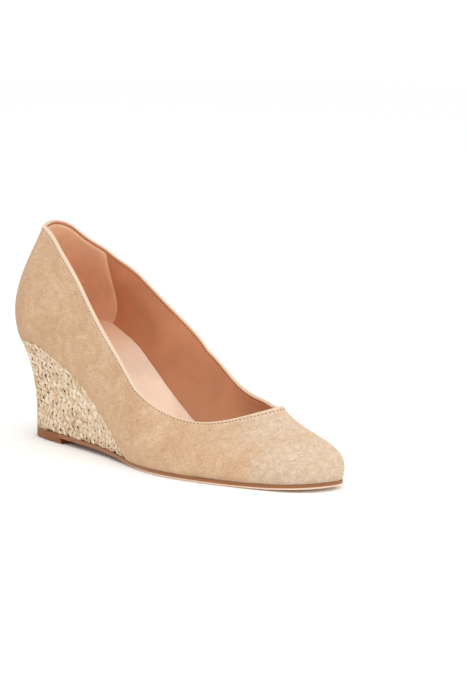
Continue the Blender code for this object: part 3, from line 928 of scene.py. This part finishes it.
def make_loft(name, sections, material, slot, values=None, sharp=None):
    """Piece from cross-sections, each up the outer side and down the inner side.

    An end cap is a ladder of quads between its two sides.
    """
    count, corners = sections.shape[:2]
    rung = np.arange(corners // 2 - 1)
    ladder = np.stack((rung, rung + 1, corners - 2 - rung, corners - 1 - rung), axis=1)
    caps = (ladder, ladder[:, ::-1] + (count - 1) * corners)
    quads = grid_quads(count, corners, False, True)
    return make_piece(name, sections.reshape(-1, 3), quads, material, slot, caps, values=values, sharp=sharp)


def at_height(columns, low, height):
    """Point of each column of a wall at a height over its low end, which takes the place of its first row."""
    points = []
    for one, start, z in zip(columns, low, low[:, 2] + height):
        line = np.concatenate((start[None], one[1:]))
        points.append([np.interp(z, line[:, 2], line[:, axis]) for axis in range(3)])
    return np.array(points)


INSOLE_COLUMNS = 320
INSOLE_SNUG = 0.00015  # between the insole's edge and the lining
INSOLE_ROUND = 0.00035  # how much its upper edge is rounded off
INSOLE_ROUND_REACH = 0.0005
INSOLE_INWARD = (0.02, 0.035, 0.055, 0.09, 0.14, 0.2, 0.28, 0.38, 0.5, 0.64, 0.8, 0.97)


def make_insole(upper):
    """Padded insole with a dished top, whose edge climbs the lining, most along the arch.

    Its top face runs from the edge to a middle line, from height lip to height middle over the deck, by
    middle + (lip - middle) * (1 - share) ** 3, with the first steps rounded off.
    """
    count = INSOLE_COLUMNS
    at = np.arange(count) / count
    up = np.linspace(0, 0.5, 41)
    depth = UPPER_WALL + INSOLE_SNUG
    columns = wall(at[:, None], up) - wall_normal(at[:, None], up) * depth
    foot = on_deck(ring("sole", at) - ring_out("sole", at) * depth)
    lip = closed_curve(column("lip"), at) * INSOLE_THICKNESS
    opposite = -np.arange(count) % count
    middle = INSOLE_MIDDLE * np.minimum(lip, lip[opposite])
    edge = at_height(columns, foot, lip)
    spine = (edge[:, :2] + edge[opposite, :2]) / 2
    end = INSOLE_END * SHOE_LENGTH
    spine[:, 0] = np.clip(spine[:, 0], foot[:, 0].min() + end, foot[:, 0].max() - end)
    rings = [foot] + [at_height(columns, foot, lip * share) for share in (0.3, 0.6, 0.8, 0.9)]
    reach = np.linalg.norm(spine - edge[:, :2], axis=1)
    for share in INSOLE_INWARD:
        points = on_deck(edge[:, :2] + (spine - edge[:, :2]) * share)
        rounded = INSOLE_ROUND * np.exp(-share * reach / INSOLE_ROUND_REACH)
        points[:, 2] += middle + (lip - middle) * (1 - share) ** 3 - rounded
        rings.append(points)
    grid = np.stack(rings, axis=1)
    quads = grid_quads(count, len(rings), True, False)
    index = np.arange(count * len(rings)).reshape(count, len(rings))
    near = np.arange(1, count // 2 - 1)
    caps = []
    for row, way in ((index[:, 0], -1), (index[:, -1], 1)):
        caps.append(np.stack((row[near], row[near + 1], row[-near - 1], row[-near]), axis=1)[:, ::way])
        caps.append(np.stack((row[[0, 1, -1]], row[count // 2 - 1 : count // 2 + 2]))[:, ::way])
    # Painted shade: towards the heel the insole turns to its darker, redder colour, deep inside the shoe.
    heel = 0.85 * step_up((0.36 - grid[:, :, 0] / SHOE_LENGTH) / 0.26)
    material = leather_finish("insole_leather", upper.insole, upper.insole_painted_shade, 0.5, 0.05)
    points = grid.reshape(-1, 3)
    piece = make_piece("insole_sock", points, quads, material, "insole_leather", caps, values={"zone": heel})
    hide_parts("insole")


def breast(height):
    """X of the top piece's leaning front face at a height over the floor."""
    return BREAST_ALONG * SHOE_LENGTH - BREAST_SLANT * height / TOP_PIECE_THICKNESS


BEVEL_SHADE_TO = 0.3  # share of the sole's length from which bevel and underside show their pale colour; towards the breast painted shade gives them the edge's colour
BEVEL_SHADE_FADE = 0.25


# Painted shade: the seam column darkens the top of the edge, under the upper.
SOLE_LEVELS = (  # distance out past the base line, share of the thickness down, shares of bevel and seam
    (SOLE_MARGIN - SOLE_BEVEL, 1.0, 1.0, 0.0),
    (SOLE_MARGIN - SOLE_BEVEL * 0.4, 0.88, 1.0, 0.0),
    (SOLE_MARGIN - SOLE_BEVEL * 0.05, BEVEL_START + 0.04, 0.8, 0.0),
    (SOLE_MARGIN, BEVEL_START - 0.03, 0.0, 0.0),
    (SOLE_MARGIN, 0.22, 0.0, 0.0),
    (SOLE_MARGIN - 0.03 * MM, 0.08, 0.0, 0.4),
    (SOLE_MARGIN - 0.12 * MM, 0.01, 0.0, 1.0),
    (SOLE_MARGIN - 1.6 * MM, 0.0, 0.0, 1.0),
)
# Painted shade: the seam column darkens the top of the top piece, under the straw.
TOP_PIECE_LEVELS = (  # distance out past the base line, height over the floor, share of seam
    (-0.45 * MM, 0.0, 0.0),
    (-0.12 * MM, 0.12 * MM, 0.0),
    (0.0, 0.45 * MM, 0.0),
    (0.0, TOP_PIECE_THICKNESS - 0.9 * MM, 0.0),
    (0.0, TOP_PIECE_THICKNESS - 0.3 * MM, 0.4),
    (-0.1 * MM, TOP_PIECE_THICKNESS - 0.05 * MM, 1.0),
    (-0.8 * MM, TOP_PIECE_THICKNESS, 1.0),
)


def rim_sections(sides):
    """Cross-sections of a plate from X, outer Y, inner Y and Z of each level of its rim."""
    outer = [np.column_stack((x, out, z)) for x, out, _into, z in sides]
    inner = [np.column_stack((x, into, z)) for x, _out, into, z in sides]
    return np.stack(outer + inner[::-1], axis=1)


def rim_values(levels, number, along):
    """One number of each level for every point of a plate, times a share along it."""
    column_values = np.array([level[number] for level in levels])
    return np.outer(along, np.concatenate((column_values, column_values[::-1])))


def make_outsole(bottom):
    """Thin sole with a waxed upright edge, painted shade at its top and, from the ball on, a paler bevel,
    which painted shade darkens towards the breast.
    """
    shares = np.sin(np.pi / 2 * np.linspace(0, 1, 260)) * 0.9997
    sides = []
    for margin, depth, _bevel, _seam in SOLE_LEVELS:
        start = breast(TOP_PIECE_THICKNESS - SOLE_THICKNESS * depth) + GAP
        x, outer, inner = side_points("base", margin, shares, start=start)
        sides.append((x, outer, inner, underside(x) - SOLE_THICKNESS * depth))
    # Painted shade: towards the breast, bevel and underside take the edge's dark colour.
    bevel_out_of_shade = step_up((shares - BEVEL_SHADE_TO) / BEVEL_SHADE_FADE)
    values = {"bevel": rim_values(SOLE_LEVELS, 2, bevel_out_of_shade), "seam": rim_values(SOLE_LEVELS, 3, np.ones(len(x)))}
    piece = make_loft("sole", rim_sections(sides), sole_finish(bottom), "sole_leather", values, 40)
    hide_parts("outsole")


def make_top_piece(bottom):
    """Lift under the heel with softened lower edge and a line of painted shade where it meets the straw."""
    shares = 0.0004 + 0.9996 * (1 - np.cos(np.pi / 2 * np.linspace(0, 1, 90)))
    sides = []
    for margin, height, _seam in TOP_PIECE_LEVELS:
        x, outer, inner = side_points("base", margin, shares, end=breast(height) + min(margin, 0.0))
        sides.append((x, outer, inner, np.full(len(x), height)))
    values = {"seam": rim_values(TOP_PIECE_LEVELS, 2, np.ones(len(x)))}
    piece = make_loft("heel_lift", rim_sections(sides), rubber_finish(bottom), "top_piece_rubber", values, 40)
    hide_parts("top_piece")


class WedgeWall:
    """Side wall of the wedge, from the front on the outer side round the back to the inner side.

    A place is -1 at the outer front, 0 at the back and 1 at the inner front. Its share of the wedge's
    length is 1 - cos(pi / 2 * |place|). Low and high points lie on base line and feather line, and the
    wall between them follows the straight line bent by the share up to the power HOLLOW.
    """

    def __init__(self):
        x = np.linspace(0, SHOE_LENGTH, DENSE)
        self.tip = float(x[np.nonzero(deck(x) - underside(x) > WEDGE_EDGE)[0][-1]])
        self.rings = {kind: dense_sides(kind, 0.0) for kind in ("base", "sole")}

    def edge(self, kind, place):
        """Plan of base line or feather line at a place."""
        outer, inner = self.rings[kind]
        share = 1 - np.cos(np.pi / 2 * np.abs(place))
        x = outer[0, 0] + (self.tip - outer[0, 0]) * share
        outer_y, inner_y = (np.interp(x, side[:, 0], side[:, 1]) for side in (outer, inner))
        y = np.where(place < 0, outer_y, inner_y)
        return np.stack((x, y), axis=-1)

    def height(self, place):
        """Height of the wall from base line to feather line."""
        low = self.edge("base", place)
        high = self.edge("sole", place)
        return deck(high[..., 0], high[..., 1]) - underside(low[..., 0]) - GAP

    def point(self, place, down):
        """Point of the wall at a place and a depth below the feather line."""
        low = self.edge("base", place)
        high = self.edge("sole", place)
        low_z = underside(low[..., 0]) + GAP
        high_z = deck(high[..., 0], high[..., 1])
        share = np.clip(1 - down / (high_z - low_z), 0, 1)
        plan = low + (high - low) * (share**HOLLOW)[..., None]
        return np.concatenate((plan, (low_z + (high_z - low_z) * share)[..., None]), axis=-1)

    def normal(self, place, down):
        """Outward unit normal: cross product of a step along and a step down."""
        along = self.point(place + 0.004, down) - self.point(place - 0.004, down)
        fall = self.point(place, down + 0.3 * MM) - self.point(place, np.maximum(down - 0.3 * MM, 0))
        return unit(np.cross(along, fall))


BACKING_BEHIND = 0.00115  # from the wedge's wall to the backing
BACKING_END = 0.985  # place at which the backing ends


def make_wedge_backing(bottom, walls):
    """Smooth backing behind the plait."""
    place = np.linspace(-BACKING_END, BACKING_END, 240)
    height = walls.height(place)[:, None]
    down = np.clip(height * np.linspace(1, 0, 40), 0.15 * MM, height - 0.02 * MM)
    surface = walls.point(place[:, None], down) - walls.normal(place[:, None], down) * BACKING_BEHIND
    half = len(place) // 2
    sections = np.concatenate((surface[:half][::-1], surface[half:, ::-1]), axis=1)
    make_loft("wedge_backing", sections, backing_finish(bottom), "straw", sharp=50)


STRANDS = 4
STRAND_CORNERS = 8
STRAND_THICK = 0.00042  # half of a strand's thickness
PLAIT_LIFT = 0.00046  # how far a strand swings in and out
PLAIT_STEP = 0.0008
PLAIT_NARROWEST = 0.0015  # a row ends where the wedge leaves less than this
PLAIT_SEED = 11


def strand_ripple(s, second, third, size, seed):
    """Ripple along a length, apart for each second and third number."""
    return ripple(np.stack(np.broadcast_arrays(s, float(second), float(third)), axis=1), size, seed)


def plait_row(walls, top, bottom_depth, bottom, seed):
    """Flat plait of STRANDS strands along one row of the wedge's wall.

    Strand k swings across the row by the sine of its phase, 2 pi (length along / weave + k / STRANDS), and
    in and out by the cosine of STRANDS - 1 times its phase, so that each passes over the next in turn.
    The row narrows where the base line cuts it off.
    """
    draw = np.random.default_rng(seed)
    place = np.linspace(-0.999, 0.999, DENSE)
    room = np.minimum(bottom_depth, walls.height(place) + 0.1 * MM) - top
    inside = np.nonzero(room > PLAIT_NARROWEST)[0]
    kept = slice(inside[0], inside[-1] + 1)
    centre = walls.point(place[kept], top + room[kept] / 2)
    length = np.concatenate(([0], np.cumsum(np.linalg.norm(np.diff(centre, axis=0), axis=1))))
    count = int(length[-1] / PLAIT_STEP)
    s = np.linspace(0, length[-1], count)
    place, room = (np.interp(s, length, numbers[kept]) for numbers in (place, room))
    share = room / PLAIT_PITCH
    turn = np.arange(STRAND_CORNERS) / STRAND_CORNERS * 2 * np.pi
    section_side = np.sign(np.cos(turn)) * np.abs(np.cos(turn)) ** 0.9
    section_out = np.sin(turn) * (1 + 0.10 * np.cos(5 * turn))
    shift = draw.uniform(0, 1)
    for strand in range(STRANDS):
        wander = 0.7 * strand_ripple(s, strand, seed, 0.019, seed)
        phase = 2 * np.pi * (s / bottom.weave + strand / STRANDS + shift) + wander
        across = (room / 2 - bottom.strand * 0.6 * share) * np.sin(phase)
        down = np.clip(top + room / 2 + across, 0.1 * MM, None)
        lift = PLAIT_LIFT * (np.cos((STRANDS - 1) * phase) - 1) * np.sqrt(share)
        normal = walls.normal(place, down)
        middle = walls.point(place, down) + normal * lift[:, None]
        travel = unit(np.gradient(middle, axis=0))
        side = unit(np.cross(normal, travel))
        normal = unit(np.cross(travel, side))
        wide = bottom.strand * share * (1 + 0.28 * strand_ripple(s, strand, 0, 0.008, seed + 50))
        thick = STRAND_THICK * np.sqrt(share)
        for size in (wide, thick):
            size[[0, -1]] *= 0.3
        out = side[:, None] * np.outer(wide, section_side)[:, :, None]
        out = out + normal[:, None] * np.outer(thick, section_out)[:, :, None]
        # under is 1 where the strand dips lowest, under the others, and drives the painted shade there.
        under = 0.5 - 0.5 * np.cos((STRANDS - 1) * phase)
        tint = np.clip(0.5 + 0.5 * strand_ripple(s, strand * 3, 0, 0.016, seed + 90), 0, 1)
        yield middle[:, None] + out, tint, under, s


def make_plait(bottom, walls):
    """All rows of plaited straw down the wedge, from the feather line to the base line."""
    sections, uv, tint, under_shade = [], [], [], []
    rows = int(np.ceil(float(walls.height(np.array([0.0]))[0]) / PLAIT_PITCH))
    turn = np.arange(STRAND_CORNERS + 1) / STRAND_CORNERS
    for row in range(rows):
        top = row * PLAIT_PITCH + (0.1 * MM if row == 0 else 0.0)
        end = (row + 1) * PLAIT_PITCH
        for section, shade, under, s in plait_row(walls, top, end, bottom, PLAIT_SEED + row):
            sections.append(section)
            corner = np.stack(np.meshgrid(s + row * 0.37, turn, indexing="ij"), axis=2)
            faces = np.stack((corner[:-1, :-1], corner[1:, :-1], corner[1:, 1:], corner[:-1, 1:]), axis=2)
            uv.append(faces.reshape(-1, 4, 2))
            tint.append(np.repeat(shade, STRAND_CORNERS))
            under_shade.append(np.repeat(under**2 * 0.8, STRAND_CORNERS))
    points, quads, caps = tubes(sections)
    values = {"tint": np.concatenate(tint), "under_shade": np.concatenate(under_shade)}
    material = straw_finish(bottom)
    piece = make_piece("straw_plait", points, quads, material, "straw", caps, np.concatenate(uv), values)
    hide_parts("wedge")


TARGET = Vector((0.0874, 0.0, 0.050))  # point that the photograph shows at TARGET_PIXEL
TARGET_PIXEL = (172.4, 365.5)
PHOTO_SIZE = (467, 700)
FOCAL_PIXELS = 2446
SENSOR = 36.0
LIGHTS = (("key", (0.9, -0.6, 1.9), 10.0), ("fill", (1.7, 0.5, 1.0), 4.0))
LIGHT_SIZE = 1.0
LIGHT_AIM = (0.08, 0.0, 0.04)
WORLD_STRENGTH = 1.03
FLOOR_HALF = 6.0
FLOOR_BELOW = 0.0001


def make_camera(studio):
    """Camera at the photograph's angle, turned so that TARGET falls on TARGET_PIXEL."""
    azimuth = np.radians(studio.azimuth)
    elevation = np.radians(studio.elevation)
    back = Vector(
        (np.sin(azimuth) * np.cos(elevation), -np.cos(azimuth) * np.cos(elevation), np.sin(elevation))
    )
    camera = bpy.data.objects.new("camera", bpy.data.cameras.new("camera"))
    camera.data.sensor_width = SENSOR
    camera.data.lens = FOCAL_PIXELS / PHOTO_SIZE[1] * SENSOR
    camera.data.clip_start = 0.01
    camera.data.clip_end = 50
    aimed = (-back).to_track_quat("-Z", "Y") @ Quaternion((0, 0, 1), np.radians(studio.roll))
    seen = Vector(
        (TARGET_PIXEL[0] - PHOTO_SIZE[0] / 2, PHOTO_SIZE[1] / 2 - TARGET_PIXEL[1], -FOCAL_PIXELS)
    ).normalized()
    camera.rotation_mode = "QUATERNION"
    camera.rotation_quaternion = aimed @ seen.rotation_difference(Vector((0, 0, -1)))
    camera.location = TARGET + back * studio.distance
    bpy.context.scene.collection.objects.link(camera)
    bpy.context.scene.camera = camera


def make_light(name, place, power):
    """Square white area light at a place, turned to the shoe."""
    light = bpy.data.lights.new(name, "AREA")
    light.shape = "SQUARE"
    light.size = LIGHT_SIZE
    light.energy = power
    lamp = bpy.data.objects.new(name, light)
    lamp.location = place
    lamp.rotation_mode = "QUATERNION"
    lamp.rotation_quaternion = (Vector(LIGHT_AIM) - Vector(place)).to_track_quat("-Z", "Y")
    bpy.context.scene.collection.objects.link(lamp)


def make_floor(studio):
    """Wide pale floor just under the sole."""
    points = np.array(((-1, -1, 0), (1, -1, 0), (1, 1, 0), (-1, 1, 0))) * FLOOR_HALF
    points[:, 2] = -FLOOR_BELOW
    mesh = bpy.data.meshes.new("floor")
    mesh.from_pydata(points.tolist(), [], [(0, 1, 2, 3)])
    finish = Finish("floor_paper", 0.9, 0.1)
    cloud = finish.noise(0.4, 2.0)
    finish.colour(finish.mix(cloud, scaled(studio.floor, 0.99), studio.floor))
    mesh.materials.append(finish.material)
    floor = bpy.data.objects.new("floor", mesh)
    bpy.context.scene.collection.objects.link(floor)


def make_world():
    """Even white light from all round."""
    world = bpy.data.worlds.new("studio")
    world.use_nodes = True
    background = world.node_tree.nodes["Background"]
    background.inputs["Color"].default_value = (1.0, 1.0, 1.0, 1.0)
    background.inputs["Strength"].default_value = WORLD_STRENGTH
    bpy.context.scene.world = world


class Step:
    """What the steps share: each makes its pieces from the scene's settings."""

    def execute(self, context):
        self.make(context.scene.wedge_pump)
        return {"FINISHED"}


class PUMP_OT_suede(Step, bpy.types.Operator):
    """Add the upper's suede"""

    bl_idname = "pump.suede"
    bl_label = "Suede"

    def make(self, pump):
        make_suede(pump.upper)


class PUMP_OT_lining(Step, bpy.types.Operator):
    """Add lining and heel grip"""

    bl_idname = "pump.lining"
    bl_label = "Lining"

    def make(self, pump):
        make_lining(pump.upper)
        make_heel_grip(pump.upper)


class PUMP_OT_stitches(Step, bpy.types.Operator):
    """Add the stitches of topline and side seam"""

    bl_idname = "pump.stitches"
    bl_label = "Stitches"

    def make(self, pump):
        make_topline_stitches(pump.upper, inside=False)
        make_topline_stitches(pump.upper, inside=True)
        make_seam_stitches(pump.upper)


class PUMP_OT_insole(Step, bpy.types.Operator):
    """Add the insole"""

    bl_idname = "pump.insole"
    bl_label = "Insole"

    def make(self, pump):
        make_insole(pump.upper)


class PUMP_OT_wedge(Step, bpy.types.Operator):
    """Add the wedge's backing and its plaited straw"""

    bl_idname = "pump.wedge"
    bl_label = "Straw wedge"

    def make(self, pump):
        walls = WedgeWall()
        make_wedge_backing(pump.bottom, walls)
        make_plait(pump.bottom, walls)


class PUMP_OT_sole(Step, bpy.types.Operator):
    """Add sole and top piece"""

    bl_idname = "pump.sole"
    bl_label = "Sole"

    def make(self, pump):
        make_outsole(pump.bottom)
        make_top_piece(pump.bottom)


class PUMP_OT_studio(Step, bpy.types.Operator):
    """Add floor, lights and camera"""

    bl_idname = "pump.studio"
    bl_label = "Studio"

    def make(self, pump):
        make_floor(pump.studio)
        make_world()
        for light in LIGHTS:
            make_light(*light)
        make_camera(pump.studio)
        bpy.context.scene.view_settings.view_transform = "Standard"


STEPS = (
    PUMP_OT_suede,
    PUMP_OT_lining,
    PUMP_OT_stitches,
    PUMP_OT_insole,
    PUMP_OT_wedge,
    PUMP_OT_sole,
    PUMP_OT_studio,
)


class PUMP_PT_looks(bpy.types.Panel):
    """Buttons of the shoe's pieces"""

    bl_idname = "PUMP_PT_looks"
    bl_label = "Wedge pump"
    bl_space_type = "VIEW_3D"
    bl_region_type = "UI"
    bl_category = "Wedge pump"

    def draw(self, context):
        for step in STEPS:
            self.layout.operator(step.bl_idname)


CLASSES = (UpperSettings, BottomSettings, StudioSettings, PumpSettings, *STEPS, PUMP_PT_looks)


def register():
    """Register the classes and the scene's settings."""
    for item in CLASSES:
        bpy.utils.register_class(item)
    bpy.types.Scene.wedge_pump = PointerProperty(type=PumpSettings)


def unregister():
    """Take the settings and the classes away again."""
    del bpy.types.Scene.wedge_pump
    for item in reversed(CLASSES):
        bpy.utils.unregister_class(item)


def main():
    """Register the add-on and make every piece in order."""
    for old in [item for item in bpy.data.objects if item.name in ("Cube", "Light", "Camera")]:
        bpy.data.objects.remove(old, do_unlink=True)
    register()
    bpy.ops.pump.suede()
    bpy.ops.pump.lining()
    bpy.ops.pump.stitches()
    bpy.ops.pump.insole()
    bpy.ops.pump.wedge()
    bpy.ops.pump.sole()
    bpy.ops.pump.studio()


if __name__ == "__main__":
    main()
